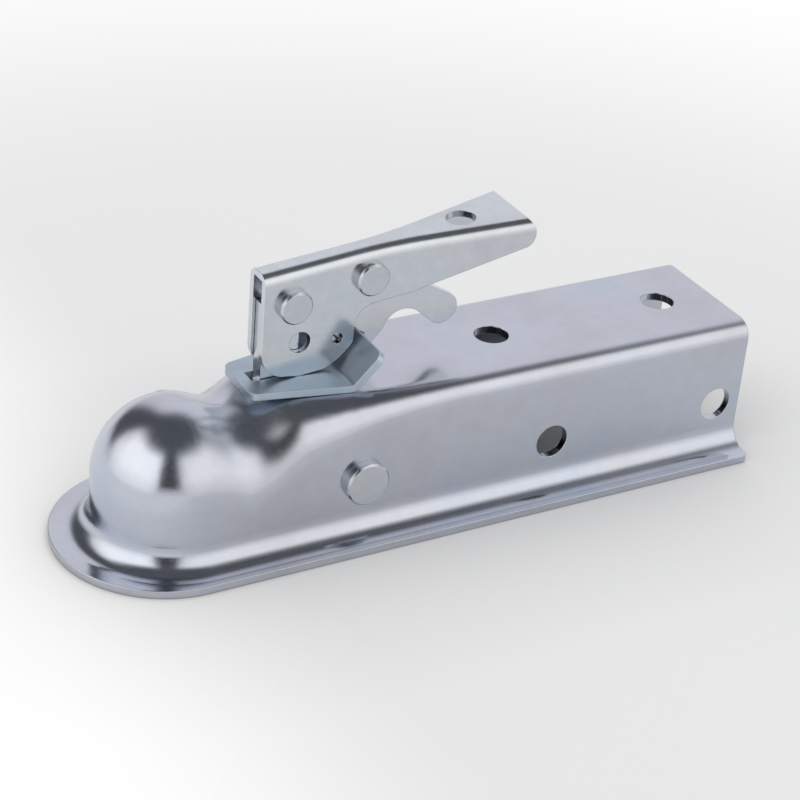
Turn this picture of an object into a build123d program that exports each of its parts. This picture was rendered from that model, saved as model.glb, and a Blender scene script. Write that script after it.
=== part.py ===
from build123d import *
from math import acos, asin, atan2, cos, degrees, hypot, pi, radians, sin, sqrt, tan
import os

os.makedirs("parts", exist_ok=True)

# Straight-tongue trailer coupling head: pressed body, under-ball clamp, over-centre lever and
# trigger. Millimetres and degrees. +X points back along the trailer tongue, +Z up. The origin
# is on the underside of the flange, half way along the length.

# Pressed body
total_length = 263.5
tongue_width = 51.0
sheet = 3.0
body_height = 53.5
bend_radius = 6.5
flare_radius = 8.5
flange_half = 39.75
flange_lead = 3.0
flange_corner = 2.0
ball_diameter = 50.8
crown_flat = 0.5

# Shoulder between dome and channel
dome_drop = 1.3
valley_drop = 5.8
valley_run = 17.0
valley_lag = 1.25
ramp_run = 23.0
shoulder_run = 98.0
shoulder_stations = 24

# Bolt holes for the tongue
bolt_hole = 12.9
bolt_pitch = 73.0
top_hole_setback = 23.0
side_hole_setback = 10.8
side_hole_height = 21.6

# Clamp rivet through both side walls
clamp_behind_ball = 59.85
clamp_height = 23.2
clamp_shank = 12.0
clamp_head = 16.4
clamp_head_rise = 3.4
head_bevel = 0.7

# Under-ball clamp and its spacers
clamp_half = 12.0
clamp_boss = 10.0
clamp_lug = 8.5
lip_reach = 22.0
lip_floor = 3.0
lip_thickness = 3.5
ball_clearance = 0.3
spacer_wall = 3.0

# Draw strap and its lower pin
strap_thickness = 5.8
strap_width = 14.0
strap_lead = 9.9
strap_eye = 8.0
pin_arm = 21.9
pin_diameter = 8.0
pin_head = 12.0
pin_head_rise = 2.4

# Lever linkage
lever_swing = 75.0
strap_drop = 4.5
lever_behind_ball = 40.25
cam_height = 28.15
lever_sheet = 2.4
lever_gap = 6.4
lever_lead = 11.1
lever_rise = 12.2
lever_length = 99.8
lever_slope = 5.1
lever_bend = 4.0
lobe_sweep = 30.4
lobe_back = 23.9
lobe_corner = 3.0
heel_rise = 0.9
throat_drop = 13.3
belly_back = 45.0
belly_slope = 9.5
toe_radius = 10.2
toe_gap = 0.75
throat_radius = 8.6
flare_start = 38.0
flare_bend = 150.0
handle_half = 15.1
handle_end = 9.6
handle_nose = 1.9
handle_corner = 4.0
handle_hole = 10.8
handle_hole_inset = 22.2
lock_hole = 8.0
lock_hole_back = 3.2
lock_hole_drop = 15.0
spring_hole = 4.4
spring_hole_back = 17.6
spring_hole_drop = 16.1

# Lever rivets
rivet_shank = 8.0
rivet_head = 12.2
rivet_head_rise = 3.2

# Trigger and its spring
trigger_back = 29.0
trigger_rise = 5.45
trigger_thickness = 2.9
trigger_boss = 6.9
finger_radius = 6.0
finger_back = 32.5
finger_drop = 20.1
hook_radius = 8.5
hook_back = 17.1
hook_drop = 26.0
hook_wrap = 120.0
finger_slope = 29.8
finger_lean = 45.0
tail_lead = 6.5
tail_drop = 31.0
tail_back = 4.8
brow_lead = 5.1
brow_gap = 0.5
tooth_height = 2.7
tooth_reach = 1.0
tab_gap = 0.5
spring_wire = 0.7
spring_arm = 12.0
spring_tail = 0.6

# Latch plate
plate_sheet = 2.6
plate_behind_ball = 22.75
plate_front_half = 11.2
plate_back_half = 21.0
plate_corner = 4.0
tab_behind_ball = 58.4
tab_lean = 38.0
tab_length = 14.7
tab_bend = 2.5
tab_corner = 3.0
slot_half = 3.4
slot_lead = 3.1
slot_tail = 3.5
window_half = 3.2
window_low = 4.0
window_high = 11.0

# Clearances
seat_gap = 0.02
running = 0.05
pin_play = 0.1
side_play = 0.1
swing_play = 0.3

# Worked-out places
half_width = tongue_width / 2 + sheet
flare_edge = half_width + flare_radius
skirt_top = sheet + flare_radius
ball_setback = total_length - flange_lead - flange_half
rear_x = total_length / 2
ball_x = rear_x - ball_setback
flange_x = ball_x - flange_lead
dome_round = half_width - crown_flat
ball_z = body_height - dome_drop - dome_round
ball_axis = Axis((ball_x, 0, 0), (0, 0, 1))
clamp_x = ball_x + clamp_behind_ball
pin_x = clamp_x - pin_arm
pin_z = clamp_height + strap_drop / 2
plate_seat = body_height + seat_gap
plate_top = plate_seat + plate_sheet
lever_x = ball_x + lever_behind_ball
lever_z = plate_top + cam_height
cam_rate = strap_drop / radians(lever_swing)
lever_half = lever_gap / 2 + lever_sheet
lever_end = lever_length - lever_lead
trigger_x = lever_x + trigger_back
trigger_z = lever_z + trigger_rise
tab_x = ball_x + tab_behind_ball
tab_back = tan(radians(tab_lean))


def tab_point(along, behind=0.0):
    """A point on the upturned tab: distance up its front face and behind that face."""
    lean = radians(tab_lean)
    x = tab_x + along * sin(lean) + behind * cos(lean)
    z = plate_top + along * cos(lean) - behind * sin(lean)
    return (x, z)


def channel_face(behind_ball, half, top, corner, floor):
    """A cross-section of the body: two walls and a crown with rounded shoulders."""
    plane = Plane(origin=(ball_x + behind_ball, 0, 0), x_dir=(0, 1, 0), z_dir=(1, 0, 0))
    with BuildSketch(plane) as face:
        with BuildLine():
            wall = Line((-half, floor), (-half, top - corner))
            shoulder_arc = JernArc(wall @ 1, (0, 1), corner, -90)
            crown = Line(shoulder_arc @ 1, (half - corner, top))
            far_arc = JernArc(crown @ 1, (1, 0), corner, -90)
            Polyline(far_arc @ 1, (half, floor), (-half, floor))
        make_face()
    return face.sketch.face()


def crown_drop(behind_ball):
    """How far the crown lies under the channel's top: down from the dome, then up the ramp."""
    if behind_ball < valley_run:
        fall = (1 - cos(pi * (behind_ball / valley_run) ** valley_lag)) / 2
        return dome_drop + (valley_drop - dome_drop) * fall
    climb = min(1.0, (behind_ball - valley_run) / ramp_run)
    return valley_drop * (1 + cos(pi * climb)) / 2


def crown_corner(behind_ball):
    """Radius of the shoulder's corners, from the dome's roundness to the channel's bend."""
    way = max(0.0, (behind_ball - valley_run) / (shoulder_run - valley_run))
    return bend_radius + (dome_round - bend_radius) * (1 - way) ** 2


def shoulder_faces(inset):
    """The body's sections from the ball's axis back to the plain channel."""
    faces = []
    for station in range(shoulder_stations + 1):
        behind = shoulder_run * station / shoulder_stations
        top = body_height - crown_drop(behind) - inset
        corner = crown_corner(behind) - inset
        faces.append(channel_face(behind, half_width - inset, top, corner, skirt_top - inset))
    return faces


def dome_face(inset):
    """Half of the section at the ball's axis, for turning into the dome."""
    with BuildSketch(Plane(origin=(ball_x, 0, 0), x_dir=(0, 1, 0), z_dir=(1, 0, 0))) as face:
        with BuildLine():
            wall = Line((half_width - inset, skirt_top - inset), (half_width - inset, ball_z))
            arc = JernArc(wall @ 1, (0, 1), dome_round - inset, 90)
            Polyline(arc @ 1, (0, (arc @ 1).Y), (0, skirt_top - inset), wall @ 0)
        make_face()
    return face.sketch.face()


# The flare from wall to flange, drawn as half a section
with BuildSketch(Plane(origin=(ball_x, 0, 0), x_dir=(0, 1, 0), z_dir=(1, 0, 0))) as flare:
    with BuildLine():
        under = JernArc((half_width - sheet, skirt_top), (0, -1), flare_radius + sheet, 90)
        rim = Line(under @ 1, (flare_edge, sheet))
        over = JernArc(rim @ 1, (-1, 0), flare_radius, -90)
        Line(over @ 1, under @ 0)
    make_face()

channel_run = ball_setback - shoulder_run

with BuildPart() as coupler_body:
    # Outer form
    loft(sections=shoulder_faces(0))
    revolve(profiles=dome_face(0), axis=ball_axis, revolution_arc=180)
    plain = channel_face(shoulder_run, half_width, body_height, bend_radius, skirt_top)
    extrude(plain, channel_run, dir=(1, 0, 0))
    # Inside, one sheet thickness smaller
    loft(sections=shoulder_faces(sheet), mode=Mode.SUBTRACT)
    revolve(profiles=dome_face(sheet), axis=ball_axis, revolution_arc=180, mode=Mode.SUBTRACT)
    inner = channel_face(
        shoulder_run, half_width - sheet, body_height - sheet, bend_radius - sheet, skirt_top - sheet
    )
    extrude(inner, channel_run, dir=(1, 0, 0), mode=Mode.SUBTRACT)
    # Flare and flange
    revolve(profiles=flare.sketch.face(), axis=ball_axis, revolution_arc=180)
    for side_flare in (flare.sketch.face(), flare.sketch.face().mirror(Plane.XZ)):
        extrude(side_flare, ball_setback, dir=(1, 0, 0))
    with BuildSketch(Plane.XY) as flange:
        with Locations((flange_x, 0)):
            Circle(flange_half)
            Rectangle(rear_x - flange_x, 2 * flange_half, align=(Align.MIN, Align.CENTER))
        fillet(flange.vertices().group_by(Axis.X)[-1], flange_corner)
        with Locations((ball_x, 0)):
            Circle(flare_edge, mode=Mode.SUBTRACT)
            Rectangle(
                ball_setback,
                2 * flare_edge,
                align=(Align.MIN, Align.CENTER),
                mode=Mode.SUBTRACT,
            )
    extrude(amount=sheet)
    # Bolt holes
    with BuildSketch(Plane.XY.offset(body_height)):
        with Locations((rear_x - top_hole_setback, 0), (rear_x - top_hole_setback - bolt_pitch, 0)):
            Circle(bolt_hole / 2)
    extrude(amount=-2 * sheet, mode=Mode.SUBTRACT)
    with BuildSketch(Plane.XZ):
        with Locations(
            (rear_x - side_hole_setback, side_hole_height),
            (rear_x - side_hole_setback - bolt_pitch, side_hole_height),
        ):
            Circle(bolt_hole / 2)
        with Locations((clamp_x, clamp_height)):
            Circle(clamp_shank / 2)
    extrude(amount=half_width + sheet, both=True, mode=Mode.SUBTRACT)
    # Slot for the draw strap
    with BuildSketch(Plane.XY.offset(body_height - sheet)):
        with Locations((lever_x - strap_lead - slot_lead, 0)):
            Rectangle(
                strap_width + slot_lead + slot_tail, 2 * slot_half, align=(Align.MIN, Align.CENTER)
            )
    extrude(amount=2 * sheet, both=True, mode=Mode.SUBTRACT)

with BuildPart() as latch_plate:
    front_x = ball_x + plate_behind_ball
    fold = tab_point(0, plate_sheet)
    fold_x = fold[0] + (plate_seat - fold[1]) * tab_back
    with BuildSketch(Plane.XZ) as bent:
        with BuildLine():
            Polyline(
                (front_x, plate_seat),
                (fold_x, plate_seat),
                tab_point(tab_length, plate_sheet),
                tab_point(tab_length),
                tab_point(0),
                (front_x, plate_top),
                close=True,
            )
        make_face()
        for corner, radius in ((tab_point(0), tab_bend), ((fold_x, plate_seat), tab_bend + plate_sheet)):
            fillet(bent.vertices().sort_by_distance(corner)[0], radius)
    extrude(amount=2 * plate_back_half, both=True)
    tab_tip = tab_point(tab_length, plate_sheet)[0]
    with BuildSketch(Plane.XY.offset(plate_seat)) as plan:
        with BuildLine():
            Polyline(
                (front_x, -plate_front_half),
                (tab_tip, -plate_back_half),
                (tab_tip, plate_back_half),
                (front_x, plate_front_half),
                close=True,
            )
        make_face()
        fillet(plan.vertices().group_by(Axis.X)[0], plate_corner)
    extrude(amount=2 * tab_length, mode=Mode.INTERSECT)
    tab_end = latch_plate.faces().sort_by(Axis.Z)[-1]
    fillet(tab_end.edges().sort_by(SortBy.LENGTH)[:2], tab_corner)
    # Slot for the strap and window for the trigger's tooth
    with BuildSketch(Plane.XY.offset(plate_top)):
        with Locations((lever_x - strap_lead - slot_lead, 0)):
            Rectangle(
                strap_width + slot_lead + slot_tail, 2 * slot_half, align=(Align.MIN, Align.CENTER)
            )
    extrude(amount=-2 * plate_sheet, mode=Mode.SUBTRACT)
    lean = radians(tab_lean)
    tab_plane = Plane(origin=(tab_x, 0, plate_top), x_dir=(0, 1, 0), z_dir=(cos(lean), 0, -sin(lean)))
    with BuildSketch(tab_plane):
        with Locations((0, (window_low + window_high) / 2)):
            Rectangle(2 * window_half, window_high - window_low)
    extrude(amount=2 * plate_sheet, both=True, mode=Mode.SUBTRACT)

with BuildPart() as draw_strap:
    bar_x = lever_x - strap_lead + strap_width / 2
    with BuildSketch(Plane.XZ) as link:
        with Locations((bar_x, (lever_z + pin_z) / 2)):
            Rectangle(strap_width, lever_z - pin_z)
        with Locations((lever_x, lever_z)):
            Circle(strap_eye)
        with Locations((bar_x, pin_z)):
            Circle(strap_width / 2)
        with Locations((lever_x, lever_z)):
            Circle(rivet_shank / 2 + running, mode=Mode.SUBTRACT)
        with Locations((pin_x, pin_z)):
            SlotCenterToCenter(2 * swing_play, pin_diameter + 2 * pin_play, mode=Mode.SUBTRACT)
    extrude(amount=strap_thickness / 2, both=True)


def lever_outline(half, lead):
    """Plan of the lever: a narrow channel that widens towards the finger end."""
    end = lever_x + lever_end
    past = end + handle_half
    spread = half - lever_half
    splay = (handle_half - lever_half) / (lever_end - flare_start)
    past_half = handle_half + spread + (past - end) * splay
    with BuildSketch(Plane.XY.offset(body_height)) as plan:
        with BuildLine():
            Polyline(
                (lever_x - lead, -half),
                (lever_x + flare_start, -half),
                (past, -past_half),
                (past, past_half),
                (lever_x + flare_start, half),
                (lever_x - lead, half),
                close=True,
            )
        make_face()
        fillet(plan.vertices().group_by(Axis.X)[1], flare_bend)
    return plan.sketch


def web_height(back):
    """Height of the lever's top at a distance behind its pivot."""
    return lever_z + lever_rise + (back + lever_lead) * tan(radians(lever_slope))


with BuildPart() as lever_cavity:
    extrude(lever_outline(lever_gap / 2, 2 * lever_lead), 3 * cam_height)
    with BuildSketch(Plane.XZ):
        with BuildLine():
            Polyline(
                (lever_x - 3 * lever_lead, web_height(-3 * lever_lead) - lever_sheet),
                (lever_x + lever_length, web_height(lever_length) - lever_sheet),
                (lever_x + lever_length, lever_z + lever_length),
                (lever_x - 3 * lever_lead, lever_z + lever_length),
                close=True,
            )
        make_face()
    extrude(amount=2 * handle_half, both=True, mode=Mode.SUBTRACT)
    roof = max(lever_cavity.faces(), key=lambda f: f.normal_at().Z)
    fillet(roof.edges().sort_by(Axis.X)[1:-1], lever_bend - lever_sheet)

with BuildPart() as lever:
    extrude(lever_outline(lever_half, lever_lead), 3 * cam_height)
    with BuildSketch(Plane.XZ) as lever_side:
        heel_low = cam_height - heel_rise
        lobe_start = -degrees(asin(heel_low / lobe_sweep))
        lobe_end = -degrees(acos(lobe_back / lobe_sweep))
        throat_z = lever_z - throat_drop
        belly_rise = (belly_back - lobe_back - throat_radius) * tan(radians(belly_slope))
        tip_x = lever_x + lever_end
        tip_z = web_height(lever_end)
        with BuildLine():
            front = Line(
                (lever_x - lever_lead, web_height(-lever_lead)),
                (lever_x - lever_lead, plate_top + toe_gap + toe_radius),
            )
            toe = JernArc(front @ 1, (0, -1), toe_radius, 90)
            lobe = CenterArc((lever_x, lever_z), lobe_sweep, lobe_start, lobe_end - lobe_start)
            Polyline(toe @ 1, (lever_x + cam_rate, plate_top), lobe @ 0)
            rise = Line(lobe @ 1, (lever_x + lobe_back, throat_z))
            throat = JernArc(rise @ 1, (0, 1), throat_radius, belly_slope - 90)
            nose = ThreePointArc(
                (tip_x - handle_nose, web_height(lever_end - handle_nose)),
                (tip_x, tip_z - handle_end / 2),
                (tip_x - handle_nose, tip_z - handle_end),
            )
            Polyline(
                throat @ 1,
                (lever_x + belly_back, throat_z + throat_radius + belly_rise),
                nose @ 1,
            )
            Line(nose @ 0, front @ 0)
        make_face()
        fillet(lever_side.vertices().sort_by_distance(lobe @ 1)[0], lobe_corner)
        fillet(lever_side.vertices().sort_by_distance(nose @ 1)[0], handle_corner)
    extrude(amount=2 * handle_half, both=True, mode=Mode.INTERSECT)
    # Bends along both sides of the top
    top = max(lever.faces(), key=lambda f: f.normal_at().Z)
    fillet(top.edges().sort_by(Axis.X)[1:-1], lever_bend)
    add(lever_cavity.part, mode=Mode.SUBTRACT)
    # Holes for the rivets, the lock pin and the hand
    with BuildSketch(Plane.XZ):
        with Locations((lever_x, lever_z), (trigger_x, trigger_z)):
            Circle(rivet_shank / 2)
        with Locations((lever_x + lock_hole_back, lever_z - lock_hole_drop)):
            Circle(lock_hole / 2)
    extrude(amount=2 * lever_half, both=True, mode=Mode.SUBTRACT)
    with BuildSketch(Plane.XZ):
        with Locations((lever_x + spring_hole_back, lever_z - spring_hole_drop)):
            Circle(spring_hole / 2)
    extrude(amount=2 * lever_half, mode=Mode.SUBTRACT)
    with BuildSketch(Plane.XY.offset(tip_z)):
        with Locations((tip_x - handle_hole_inset, 0)):
            Circle(handle_hole / 2)
    extrude(amount=-2 * handle_end, mode=Mode.SUBTRACT)


def rivet_profile(shank, half_grip, head, rise, bevel):
    """Half of a flat-headed rivet along +Y: shank, two heads and their bevels, for turning."""
    reach = half_grip + rise
    with BuildSketch(Plane.XY) as profile:
        with BuildLine():
            Polyline(
                (0, -reach),
                (head / 2 - bevel, -reach),
                (head / 2, bevel - reach),
                (head / 2, -half_grip),
                (shank / 2, -half_grip),
                (shank / 2, half_grip),
                (head / 2, half_grip),
                (head / 2, reach - bevel),
                (head / 2 - bevel, reach),
                (0, reach),
                close=True,
            )
        make_face()
    return profile.sketch.face()


def at(x, z):
    """Shift from the origin to an axle's place in the middle plane."""
    return Location((x, 0, z))


with BuildPart() as lever_rivet:
    face = rivet_profile(rivet_shank, lever_half, rivet_head, rivet_head_rise, head_bevel)
    revolve(profiles=face.moved(at(lever_x, lever_z)), axis=Axis((lever_x, 0, lever_z), (0, 1, 0)))

with BuildPart() as trigger_rivet:
    face = rivet_profile(rivet_shank, lever_half, rivet_head, rivet_head_rise, head_bevel)
    revolve(profiles=face.moved(at(trigger_x, trigger_z)), axis=Axis((trigger_x, 0, trigger_z), (0, 1, 0)))

with BuildPart() as clamp_rivet:
    face = rivet_profile(clamp_shank, half_width, clamp_head, clamp_head_rise, head_bevel)
    revolve(profiles=face.moved(at(clamp_x, clamp_height)), axis=Axis((clamp_x, 0, clamp_height), (0, 1, 0)))

with BuildPart() as strap_pin:
    face = rivet_profile(pin_diameter, clamp_half, pin_head, pin_head_rise, head_bevel)
    revolve(profiles=face.moved(at(pin_x, pin_z)), axis=Axis((pin_x, 0, pin_z), (0, 1, 0)))

spacer_length = half_width - sheet - clamp_half - 2 * side_play
spacers = {}
for side, hand in (("left", -1), ("right", 1)):
    start = clamp_half + side_play
    with BuildPart() as spacer:
        with BuildSketch(Plane.XZ.offset(-hand * start)):
            with Locations((clamp_x, clamp_height)):
                Circle(clamp_shank / 2 + running + spacer_wall)
                Circle(clamp_shank / 2 + running, mode=Mode.SUBTRACT)
        extrude(amount=-hand * spacer_length)
    spacers["clamp_spacer_" + side] = spacer.part

with BuildPart() as ball_clamp:
    lip_x = ball_x + lip_reach
    with BuildSketch(Plane.XZ):
        with BuildLine():
            Polyline(
                (clamp_x, clamp_height + clamp_boss),
                (pin_x, pin_z + clamp_lug),
                (pin_x - clamp_lug, pin_z + clamp_lug),
                (lip_x, pin_z),
                (lip_x, lip_floor + lip_thickness),
                (lip_x + lip_thickness, lip_floor),
                (clamp_x, clamp_height - clamp_boss),
                close=True,
            )
        make_face()
        with Locations((clamp_x, clamp_height)):
            Circle(clamp_boss)
            Circle(clamp_shank / 2 + running, mode=Mode.SUBTRACT)
        with Locations((pin_x, pin_z)):
            Circle(pin_diameter / 2, mode=Mode.SUBTRACT)
    extrude(amount=clamp_half, both=True)
    # Ball seat
    with Locations((ball_x, 0, ball_z)):
        Sphere(ball_diameter / 2 + ball_clearance, mode=Mode.SUBTRACT)
    # Slot in which the strap swings
    strap_room = hypot(strap_width / 2, strap_width / 2) + swing_play
    with BuildSketch(Plane.XY.offset(pin_z - strap_room)):
        with Locations((pin_x, 0)):
            Rectangle(2 * strap_room, strap_thickness + 2 * swing_play)
    extrude(amount=2 * strap_room + clamp_lug, mode=Mode.SUBTRACT)


def tab_along(radius, behind):
    """How far up the tab a circle about the trigger's pivot crosses a line behind its face."""
    foot_x, foot_z = tab_point(0, behind)
    across = (foot_x - trigger_x) * sin(radians(tab_lean)) + (foot_z - trigger_z) * cos(radians(tab_lean))
    excess = hypot(foot_x - trigger_x, foot_z - trigger_z) ** 2 - radius**2
    return -across - sqrt(across**2 - excess)


with BuildPart() as trigger:
    with BuildSketch(Plane.XZ):
        slope = radians(finger_slope)
        tooth_tip = plate_sheet + tab_gap
        tail_face = tooth_tip + tooth_reach
        bar_corner = tab_point(window_high, plate_sheet)
        tooth_top = hypot(bar_corner[0] - trigger_x, bar_corner[1] - trigger_z) + swing_play
        tooth_foot = tooth_top + tooth_height
        with BuildLine():
            hook_point = (trigger_x + hook_back, trigger_z - hook_drop)
            hook = CenterArc(hook_point, hook_radius, finger_lean, hook_wrap)
            finger_point = (trigger_x + finger_back, trigger_z - finger_drop)
            finger_wrap = 270 - finger_lean - finger_slope
            finger = CenterArc(finger_point, finger_radius, finger_lean - 180, finger_wrap)
            Line(hook @ 0, finger @ 0)
            reach = finger_back + finger_radius * sin(slope) - trigger_boss / 2
            arm = Line(finger @ 1, (finger @ 1) + Vector(-reach, reach * tan(slope)))
            Polyline(
                arm @ 1,
                (trigger_x - tail_lead, trigger_z),
                tab_point(tab_length, -brow_lead),
                tab_point(tab_length + brow_gap, tail_face),
                tab_point(tab_along(tooth_top, tail_face), tail_face),
                tab_point(tab_along(tooth_top, tooth_tip), tooth_tip),
                tab_point(tab_along(tooth_foot, tooth_tip), tooth_tip),
                tab_point(tab_along(tooth_foot, tail_face), tail_face),
                (trigger_x, trigger_z - tail_drop),
                (trigger_x + tail_back, trigger_z - tail_drop + tooth_height),
                hook @ 1,
            )
        make_face()
        with Locations((trigger_x, trigger_z)):
            Circle(trigger_boss)
            Circle(rivet_shank / 2 + running, mode=Mode.SUBTRACT)
    extrude(amount=trigger_thickness / 2, both=True)

with BuildPart() as trigger_spring:
    coil_radius = rivet_shank / 2 + swing_play + spring_wire / 2
    coil_y = -lever_gap / 2 + side_play + spring_wire
    with Locations(Plane(origin=(trigger_x, coil_y, trigger_z), z_dir=(0, 1, 0))):
        Torus(coil_radius, spring_wire / 2)
    # One leg runs to the lever's side hole and turns out through it, the other lies by the finger
    anchor_x = spring_hole_back - trigger_back
    anchor_z = -spring_hole_drop - trigger_rise
    anchor_reach = hypot(anchor_x, anchor_z)
    leg_angle = atan2(anchor_z, anchor_x) - acos(coil_radius / anchor_reach)
    arm_angle = radians(90 - finger_slope)
    coil_centre = Vector(trigger_x, coil_y, trigger_z)
    leg_start = coil_centre + Vector(cos(leg_angle), 0, sin(leg_angle)) * coil_radius
    arm_start = coil_centre + Vector(cos(arm_angle), 0, sin(arm_angle)) * coil_radius
    leg_end = coil_centre + Vector(anchor_x, 0, anchor_z)
    tail_start = leg_end + Vector(0, spring_wire, 0)
    for start, way, length in (
        (leg_start, leg_end - leg_start, (leg_end - leg_start).length),
        (arm_start, Vector(sin(arm_angle), 0, -cos(arm_angle)), spring_arm),
        (tail_start, Vector(0, -1, 0), lever_sheet + 3 * spring_wire + spring_tail),
    ):
        with BuildSketch(Plane(origin=start, z_dir=way)):
            Circle(spring_wire / 2)
        extrude(amount=length)

pieces = {
    "coupler_body": coupler_body.part,
    "clamp_rivet": clamp_rivet.part,
    "latch_plate": latch_plate.part,
    "draw_strap": draw_strap.part,
    "ball_clamp": ball_clamp.part,
    "strap_pin": strap_pin.part,
    "lever": lever.part,
    "lever_rivet": lever_rivet.part,
    "trigger_rivet": trigger_rivet.part,
    "trigger": trigger.part,
    "trigger_spring": trigger_spring.part,
}
pieces.update(spacers)
for name, piece in pieces.items():
    piece.label = name
    export_step(piece, f"parts/{name}.step")
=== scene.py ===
import bpy
from math import cos, radians, sin
from mathutils import Matrix, Vector

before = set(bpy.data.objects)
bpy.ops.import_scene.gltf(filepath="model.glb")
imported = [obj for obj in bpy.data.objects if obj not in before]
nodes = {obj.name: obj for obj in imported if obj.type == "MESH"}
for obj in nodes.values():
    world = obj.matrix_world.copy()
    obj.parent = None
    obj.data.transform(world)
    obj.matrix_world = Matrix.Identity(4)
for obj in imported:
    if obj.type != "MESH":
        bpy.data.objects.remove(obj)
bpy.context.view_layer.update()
mm = 0.001
print("frame loaded:", len(nodes), "nodes")


def hexToLinear(code):
    parts = [int(code[i:i + 2], 16) / 255 for i in (1, 3, 5)]
    return tuple(c / 12.92 if c <= 0.04045 else ((c + 0.055) / 1.055) ** 2.4 for c in parts) + (1.0,)


def addNode(tree, kind, settings=None, inputs=None):
    node = tree.nodes.new(kind)
    for name, value in (settings or {}).items():
        setattr(node, name, value)
    for name, value in (inputs or {}).items():
        if isinstance(value, bpy.types.NodeSocket):
            tree.links.new(value, node.inputs[name])
        else:
            node.inputs[name].default_value = value
    return node


def setRamp(node, stops):
    ramp = node.color_ramp
    while len(ramp.elements) < len(stops):
        ramp.elements.new(0.5)
    for element, (place, colour) in zip(ramp.elements, stops):
        element.position = place
        element.color = colour


def zincSteel(name, look):
    material = bpy.data.materials.new(name)
    material.use_nodes = True
    tree = material.node_tree
    tree.nodes.clear()
    place = addNode(tree, "ShaderNodeTexCoord").outputs["Object"]
    # clear blue passivate: a faint cloudy tint over the bright zinc
    cloud = addNode(tree, "ShaderNodeTexNoise", {}, {
        "Vector": place, "Scale": 1 / (look["cloudMm"] * mm), "Detail": 3.0, "Roughness": 0.55})
    tint = addNode(tree, "ShaderNodeValToRGB", {}, {"Fac": cloud.outputs["Fac"]})
    setRamp(tint, [(0.3, hexToLinear(look["shade"])), (0.52, hexToLinear(look["zinc"])),
                   (0.74, hexToLinear(look["blue"]))])
    # spangle of the plating: small uneven patches, a shade darker or lighter
    mottle = addNode(tree, "ShaderNodeTexNoise", {}, {
        "Vector": place, "Scale": 1 / (look["mottleMm"] * mm), "Detail": 5.0, "Roughness": 0.65})
    patch = addNode(tree, "ShaderNodeMapRange", {}, {
        "Value": mottle.outputs["Fac"], "From Min": 0.3, "From Max": 0.7,
        "To Min": 1 - look["mottleShare"], "To Max": 1 + look["mottleShare"] / 2})
    plated = addNode(tree, "ShaderNodeMix", {"data_type": "RGBA", "blend_type": "MULTIPLY"}, {
        "Factor": 1.0, "A": tint.outputs["Color"], "B": patch.outputs["Result"]})
    # rolling grain of the sheet, long along X and fine across it
    stretched = addNode(tree, "ShaderNodeMapping", {}, {
        "Vector": place, "Scale": (1 / (look["grainRunMm"] * mm), 1 / (look["grainMm"] * mm),
                                   1 / (look["grainMm"] * mm))})
    grain = addNode(tree, "ShaderNodeTexNoise", {}, {
        "Vector": stretched.outputs["Vector"], "Scale": 1.0, "Detail": 2.0, "Roughness": 0.6})
    # dull specks where the plating is thin
    speck = addNode(tree, "ShaderNodeTexNoise", {}, {
        "Vector": place, "Scale": 1 / (look["speckMm"] * mm), "Detail": 4.0, "Roughness": 0.7})
    dull = addNode(tree, "ShaderNodeMapRange", {}, {
        "Value": speck.outputs["Fac"], "From Min": 0.62, "From Max": 0.75, "To Min": 0.0, "To Max": 1.0})
    # rounded edges are painted a little brighter: a painted highlight, partly real rubbed wear
    radius = look["edgeMm"] * mm
    for blend in look["blends"]:
        # drawn sheet runs from one form into the next without an edge: its normals are evened out there
        offset = addNode(tree, "ShaderNodeVectorMath", {"operation": "SUBTRACT"}, {
            0: place, 1: [v * mm for v in blend["atMm"]]})
        offset = addNode(tree, "ShaderNodeVectorMath", {"operation": "DIVIDE"}, {
            0: offset.outputs["Vector"], 1: [v * mm for v in blend["reachMm"]]})
        far = addNode(tree, "ShaderNodeVectorMath", {"operation": "LENGTH"}, {
            0: offset.outputs["Vector"]})
        near = addNode(tree, "ShaderNodeMapRange", {"interpolation_type": "SMOOTHSTEP"}, {
            "Value": far.outputs["Value"], "From Min": 1.0, "From Max": 0.5,
            "To Max": blend["radiusMm"] * mm})
        radius = addNode(tree, "ShaderNodeMath", {"operation": "ADD"}, {
            0: near.outputs["Result"], 1: radius}).outputs["Value"]
    soft = addNode(tree, "ShaderNodeBevel", {"samples": look["edgeSamples"]}, {"Radius": radius})
    # painted highlight and rubbed wear: where the bevel normal leans from the face normal, at edges and
    # over the evened-out blends, the colour is mixed towards the lighter edge colour, broken up by the
    # specks
    facing = addNode(tree, "ShaderNodeNewGeometry")
    match = addNode(tree, "ShaderNodeVectorMath", {"operation": "DOT_PRODUCT"}, {
        0: soft.outputs["Normal"], 1: facing.outputs["Normal"]})
    edgeSheenAndRubMask = addNode(tree, "ShaderNodeMapRange", {}, {
        "Value": match.outputs["Value"], "From Min": 0.98, "From Max": 0.8,
        "To Min": 0.0, "To Max": look["edgeSheenAndRub"]})
    nicks = addNode(tree, "ShaderNodeMath", {"operation": "MULTIPLY"}, {
        0: speck.outputs["Fac"], 1: look["edgeNicks"]})
    nicked = addNode(tree, "ShaderNodeMath", {"operation": "MULTIPLY", "use_clamp": True}, {
        0: edgeSheenAndRubMask.outputs["Result"], 1: nicks.outputs["Value"]})
    sheenAndWear = addNode(tree, "ShaderNodeMix", {"data_type": "RGBA"}, {
        "Factor": nicked.outputs["Value"], "A": plated.outputs["Result"],
        "B": hexToLinear(look["edge"])})
    rough = addNode(tree, "ShaderNodeMapRange", {}, {
        "Value": grain.outputs["Fac"], "From Min": 0.3, "From Max": 0.7,
        "To Min": look["roughness"] - look["smoother"], "To Max": look["roughness"] + look["rougher"]})
    rougher = addNode(tree, "ShaderNodeMath", {"operation": "MULTIPLY_ADD"}, {
        0: dull.outputs["Result"], 1: look["speckDulls"], 2: rough.outputs["Result"]})
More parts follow.
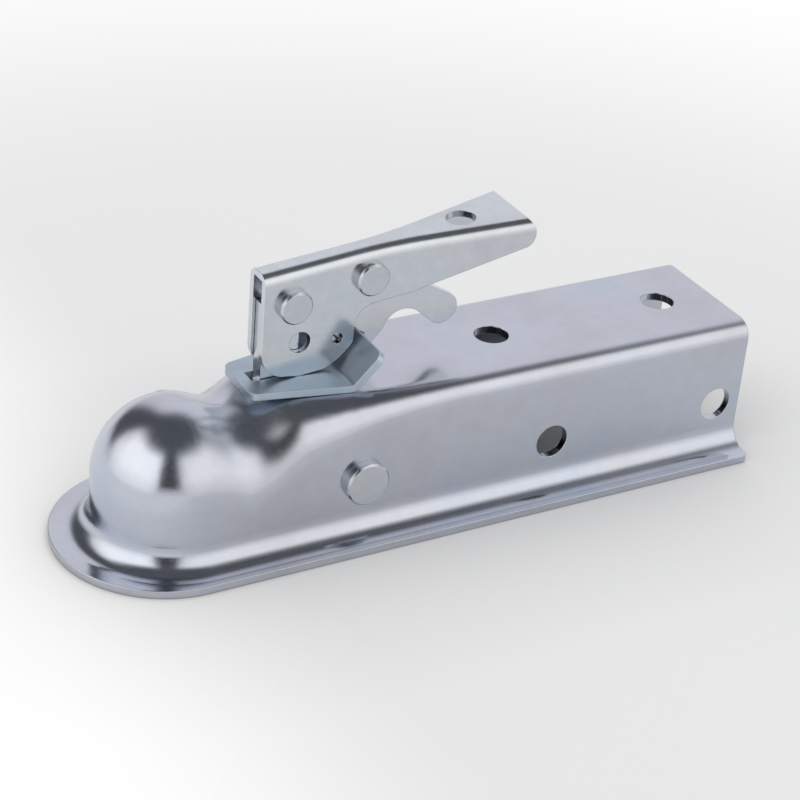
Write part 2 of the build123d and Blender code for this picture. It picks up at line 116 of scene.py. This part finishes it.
    # press waves bend the reflections, the grain only frosts them
    wave = addNode(tree, "ShaderNodeTexNoise", {}, {
        "Vector": place, "Scale": 1 / (look["waveMm"] * mm), "Detail": 1.0, "Roughness": 0.4})
    swell = addNode(tree, "ShaderNodeBump", {}, {
        "Strength": 1.0, "Distance": look["waveDeepMm"] * mm, "Height": wave.outputs["Fac"],
        "Normal": soft.outputs["Normal"]})
    dings = addNode(tree, "ShaderNodeBump", {}, {
        "Strength": 1.0, "Distance": look["mottleDeepMm"] * mm, "Height": mottle.outputs["Fac"],
        "Normal": swell.outputs["Normal"]})
    frost = addNode(tree, "ShaderNodeBump", {}, {
        "Strength": 1.0, "Distance": look["grainDeepMm"] * mm, "Height": grain.outputs["Fac"],
        "Normal": dings.outputs["Normal"]})
    relief = frost
    if "ring" in look:
        # faint ring that the heading punch leaves round the middle of the head
        ring = look["ring"]
        aside = addNode(tree, "ShaderNodeVectorMath", {"operation": "SUBTRACT"}, {
            0: place, 1: (ring["atMm"][0] * mm, 0, ring["atMm"][1] * mm)})
        aside = addNode(tree, "ShaderNodeVectorMath", {"operation": "MULTIPLY"}, {
            0: aside.outputs["Vector"], 1: (1, 0, 1)})
        away = addNode(tree, "ShaderNodeVectorMath", {"operation": "LENGTH"}, {
            0: aside.outputs["Vector"]})
        groove = addNode(tree, "ShaderNodeMath", {"operation": "COMPARE"}, {
            0: away.outputs["Value"], 1: ring["radiusMm"] * mm, 2: ring["widthMm"] * mm / 2})
        relief = addNode(tree, "ShaderNodeBump", {"invert": True}, {
            "Strength": 1.0, "Distance": ring["deepMm"] * mm, "Height": groove.outputs["Value"],
            "Normal": frost.outputs["Normal"]})
    skin = addNode(tree, "ShaderNodeBsdfPrincipled", {}, {
        "Base Color": sheenAndWear.outputs["Result"], "Metallic": 1.0, "Roughness": rougher.outputs["Value"],
        "Normal": relief.outputs["Normal"]})
    addNode(tree, "ShaderNodeOutputMaterial", {}, {"Surface": skin.outputs["BSDF"]})
    return material


def dress(names, material):
    for name in names:
        nodes[name].data.materials.clear()
        nodes[name].data.materials.append(material)
    print("dressed", ", ".join(names), "with", material.name)


# deep-drawn 3 mm sheet, zinc plated: satin, with slow waves left by the press
# the edge colour is a painted highlight along the edges, partly real rubbed wear
bodyLook = {
    "zinc": "#bfc2cc", "blue": "#b8c0ce", "shade": "#b8bbc4", "edge": "#d6d8de",
    "cloudMm": 45, "mottleMm": 5, "mottleShare": 0.03, "mottleDeepMm": 0.002,
    "grainMm": 0.6, "grainRunMm": 30, "grainDeepMm": 0.001, "waveMm": 18, "waveDeepMm": 0.03,
    "speckMm": 1.6, "speckDulls": 0.06, "roughness": 0.16, "smoother": 0.04, "rougher": 0.05,
    "edgeMm": 0.5, "edgeSamples": 6, "edgeSheenAndRub": 0.6, "edgeNicks": 2.2, "blends": [],
}
drawnLook = dict(bodyLook, edgeSamples=12, blends=[
    {"atMm": (-77, 0, 52), "reachMm": (36, 60, 38), "radiusMm": 11},    # dome into shoulder
    {"atMm": (35, -25, 48), "reachMm": (90, 18, 18), "radiusMm": 3},    # top bends of the channel
    {"atMm": (35, 25, 48), "reachMm": (90, 18, 18), "radiusMm": 3},
])
dress(["coupler_body"], zincSteel("zincPlatedPressedSteel", drawnLook))

# blanked and folded strip, flatter and a touch frostier than the body
latchLook = dict(
    bodyLook, zinc="#cbcfd5", blue="#c5cdd6", shade="#c3c7cd", edge="#e0e2e5", cloudMm=25, mottleMm=4,
    mottleShare=0.05, waveMm=12, waveDeepMm=0.012, edgeMm=0.35, roughness=0.2)
dress(["lever", "trigger", "draw_strap"], zincSteel("zincPlatedFoldedStrip", latchLook))

# the plate under the lever kept more of the blue passivate and is frostier
plateLook = dict(latchLook, zinc="#b7c5d2", blue="#acbfd0", shade="#adb8c4", roughness=0.42)
dress(["latch_plate"], zincSteel("bluePassivatedStampedStrip", plateLook))

# cold-headed rivets: flat heads with no rolling grain
rivetLook = dict(
    latchLook, zinc="#c3c7cd", blue="#bdc6d0", cloudMm=9, waveMm=6, waveDeepMm=0.008, edgeMm=0.3,
    grainRunMm=0.6)
dress(["lever_rivet", "trigger_rivet", "strap_pin"], zincSteel("zincPlatedColdHeadedRivet", rivetLook))

# the heavy rivet across the body, with a ring struck in its head
clampRivetLook = dict(rivetLook, ring={
    "atMm": (-29.15, 23.2), "radiusMm": 2.6, "widthMm": 0.5, "deepMm": 0.06})
dress(["clamp_rivet"], zincSteel("zincPlatedPunchedRivet", clampRivetLook))

# drop-forged clamp, pebbled under its plating
forgedLook = dict(
    bodyLook, zinc="#a9adb3", blue="#a3adb8", shade="#989ca2", waveMm=3, waveDeepMm=0.06, grainRunMm=0.6,
    edgeMm=0.8, roughness=0.38)
dress(["ball_clamp", "clamp_spacer_left", "clamp_spacer_right"],
      zincSteel("zincPlatedForging", forgedLook))

# hard-drawn spring wire, greyer and duller than the plating
wireLook = dict(
    rivetLook, zinc="#9fa2a7", blue="#9aa2aa", shade="#8d9095", edgeMm=0.05, waveDeepMm=0.002,
    roughness=0.3)
dress(["trigger_spring"], zincSteel("drawnSpringWire", wireLook))

# camera at the photograph's angle
cameraLook = {
    "azimuth": -31.40, "elevation": 30.15, "roll": 5.01, "distance": 0.8274,
    "target": (0.00869, 0.01481, 0.02370), "lens": 101.1, "sensor": 36, "reach": 100,
}
turn, tilt, roll = (radians(cameraLook[k]) for k in ("azimuth", "elevation", "roll"))
back = Vector((sin(turn) * cos(tilt), -cos(turn) * cos(tilt), sin(tilt)))
side = Vector((cos(turn), sin(turn), 0))
upright = back.cross(side)
right = side * cos(roll) + upright * sin(roll)
up = upright * cos(roll) - side * sin(roll)
bpy.ops.object.select_all(action="DESELECT")
bpy.ops.object.camera_add()
camera = bpy.context.object
camera.name = "photoCamera"
camera.data.sensor_width = cameraLook["sensor"]
camera.data.lens = cameraLook["lens"]
camera.data.clip_end = cameraLook["reach"]
stand = Vector(cameraLook["target"]) + back * cameraLook["distance"]
camera.matrix_world = Matrix.Translation(stand) @ Matrix((right, up, back)).transposed().to_4x4()
bpy.context.scene.camera = camera
print("camera set")

# pale painted floor with a painted pool of light on the left, where the cloth hangs close to it, and
# evenly white all round farther off
floorLook = {
    "paint": "#eceef1", "paper": "#ffffff", "size": 60.0, "drop": 0.0002,
    "paintedPoolLeftAndFar": 1.0, "paintedPoolRight": 0.55, "fadeFromMm": -170, "fadeToMm": -50,
    "farFromMm": 230, "farToMm": 620, "shadowMm": 90, "shadowSamples": 8,
}
bpy.ops.mesh.primitive_plane_add(size=floorLook["size"], location=(0, 0, -floorLook["drop"]))
floor = bpy.context.object
floor.name = "studioFloor"
floorPaint = bpy.data.materials.new("mattPaintedBoard")
floorPaint.use_nodes = True
floorTree = floorPaint.node_tree
floorTree.nodes.clear()
spot = addNode(floorTree, "ShaderNodeTexCoord").outputs["Object"]
across = addNode(floorTree, "ShaderNodeSeparateXYZ", {}, {"Vector": spot}).outputs["X"]
# painted pool of light: the white share is raised on the left of the object and lowered on its right, and
# is evenly white farther off
paintedPoolAcross = addNode(floorTree, "ShaderNodeMapRange", {"interpolation_type": "SMOOTHSTEP"}, {
    "Value": across, "From Min": floorLook["fadeFromMm"] * mm, "From Max": floorLook["fadeToMm"] * mm,
    "To Min": floorLook["paintedPoolLeftAndFar"], "To Max": floorLook["paintedPoolRight"]}).outputs["Result"]
distance = addNode(floorTree, "ShaderNodeVectorMath", {"operation": "LENGTH"}, {
    0: spot}).outputs["Value"]
whiteAndPaintedPool = addNode(floorTree, "ShaderNodeMapRange", {"interpolation_type": "SMOOTHSTEP"}, {
    "Value": distance, "From Min": floorLook["farFromMm"] * mm, "From Max": floorLook["farToMm"] * mm,
    "To Min": paintedPoolAcross, "To Max": floorLook["paintedPoolLeftAndFar"]}).outputs["Result"]
rays = addNode(floorTree, "ShaderNodeLightPath").outputs
seen = rays["Is Camera Ray"]
for kind in ("Is Glossy Ray", "Is Transmission Ray"):
    seen = addNode(floorTree, "ShaderNodeMath", {"operation": "MAXIMUM"}, {
        0: seen, 1: rays[kind]}).outputs["Value"]
share = addNode(floorTree, "ShaderNodeMath", {"operation": "MULTIPLY"}, {
    0: whiteAndPaintedPool, 1: seen}).outputs["Value"]
matt = addNode(floorTree, "ShaderNodeBsdfDiffuse", {}, {"Color": hexToLinear(floorLook["paint"])})
# painted shadow: ambient occlusion dims the white glow where the floor is covered by the object
paintedShadowOcclusion = addNode(floorTree, "ShaderNodeAmbientOcclusion", {"samples": floorLook["shadowSamples"]}, {
    "Distance": floorLook["shadowMm"] * mm})
paper = addNode(floorTree, "ShaderNodeEmission", {}, {
    "Color": hexToLinear(floorLook["paper"]), "Strength": paintedShadowOcclusion.outputs["AO"]})
board = addNode(floorTree, "ShaderNodeMixShader", {}, {
    0: share, 1: matt.outputs["BSDF"], 2: paper.outputs["Emission"]})
addNode(floorTree, "ShaderNodeOutputMaterial", {}, {"Surface": board.outputs["Shader"]})
floor.data.materials.append(floorPaint)
print("floor laid")

# light tent: three bright cloths round the object against a dimmer wall, two dark gaps, one of them where
# the camera stands, a dark roof and a pale foot
tentLook = {
    "wall": {"paint": "#eceef1", "level": 0.68},
    "cloths": [
        {"bearing": 183, "full": 20, "none": 62, "paint": "#fffdf9", "level": 1.62},
        {"bearing": -64, "full": 10, "none": 56, "paint": "#fffdfa", "level": 1.35},
        {"bearing": 45, "full": 25, "none": 54, "paint": "#f8f8fc", "level": 1.0},
        {"bearing": 108, "full": 6, "none": 27, "paint": "#c8ccd2", "level": 0.2},
        {"bearing": -119, "full": 5, "none": 21, "paint": "#c8ccd2", "level": 0.13},
    ],
    "roof": {"none": 45, "full": 67, "paint": "#c8ccd2", "level": 0.21},
    "foot": {"none": 13, "full": 2, "paint": "#f8f9fb", "level": 1.15},
    "skirt": {"none": 24, "full": 0, "level": 0.78},
}
world = bpy.data.worlds.new("lightTent")
bpy.context.scene.world = world
world.use_nodes = True
tent = world.node_tree
tent.nodes.clear()
way = addNode(tent, "ShaderNodeTexCoord").outputs["Generated"]
flat = addNode(tent, "ShaderNodeVectorMath", {"operation": "MULTIPLY"}, {0: way, 1: (1, 1, 0)})
heading = addNode(tent, "ShaderNodeVectorMath", {"operation": "NORMALIZE"}, {
    0: flat.outputs["Vector"]}).outputs["Vector"]


def lit(look):
    return tuple(c * look["level"] for c in hexToLinear(look["paint"])[:3]) + (1.0,)


def hang(behind, vector, facing, none, full, colour, blend="MIX"):
    match = addNode(tent, "ShaderNodeVectorMath", {"operation": "DOT_PRODUCT"}, {0: vector, 1: facing})
    mask = addNode(tent, "ShaderNodeMapRange", {"interpolation_type": "SMOOTHSTEP"}, {
        "Value": match.outputs["Value"], "From Min": cos(radians(none)), "From Max": cos(radians(full))})
    return addNode(tent, "ShaderNodeMix", {"data_type": "RGBA", "blend_type": blend}, {
        "Factor": mask.outputs["Result"], "A": behind, "B": colour}).outputs["Result"]


tone = lit(tentLook["wall"])
for cloth in tentLook["cloths"]:
    bearing = radians(cloth["bearing"])
    tone = hang(tone, heading, (cos(bearing), sin(bearing), 0), cloth["none"], cloth["full"], lit(cloth))
# roof, foot and skirt are given by elevation, which is 90 degrees less the angle from straight up
overhead = (0, 0, 1)
roof, foot, skirt = tentLook["roof"], tentLook["foot"], tentLook["skirt"]
tone = hang(tone, way, overhead, 90 - roof["none"], 90 - roof["full"], lit(roof))
# the floor's board curves up a little, so no gap reaches down to it
tone = hang(tone, way, overhead, 90 - foot["none"], 90 - foot["full"], lit(foot), "LIGHTEN")
# the cloths hang dimmer towards the floor
height = addNode(tent, "ShaderNodeSeparateXYZ", {}, {"Vector": way}).outputs["Z"]
dim = addNode(tent, "ShaderNodeMapRange", {"interpolation_type": "SMOOTHSTEP"}, {
    "Value": height, "From Min": sin(radians(skirt["full"])), "From Max": sin(radians(skirt["none"])),
    "To Min": skirt["level"], "To Max": 1.0}).outputs["Result"]
glow = addNode(tent, "ShaderNodeBackground", {}, {"Color": tone, "Strength": dim})
addNode(tent, "ShaderNodeOutputWorld", {}, {"Surface": glow.outputs["Background"]})
bpy.context.scene.view_settings.view_transform = "Standard"
print("light tent hung")
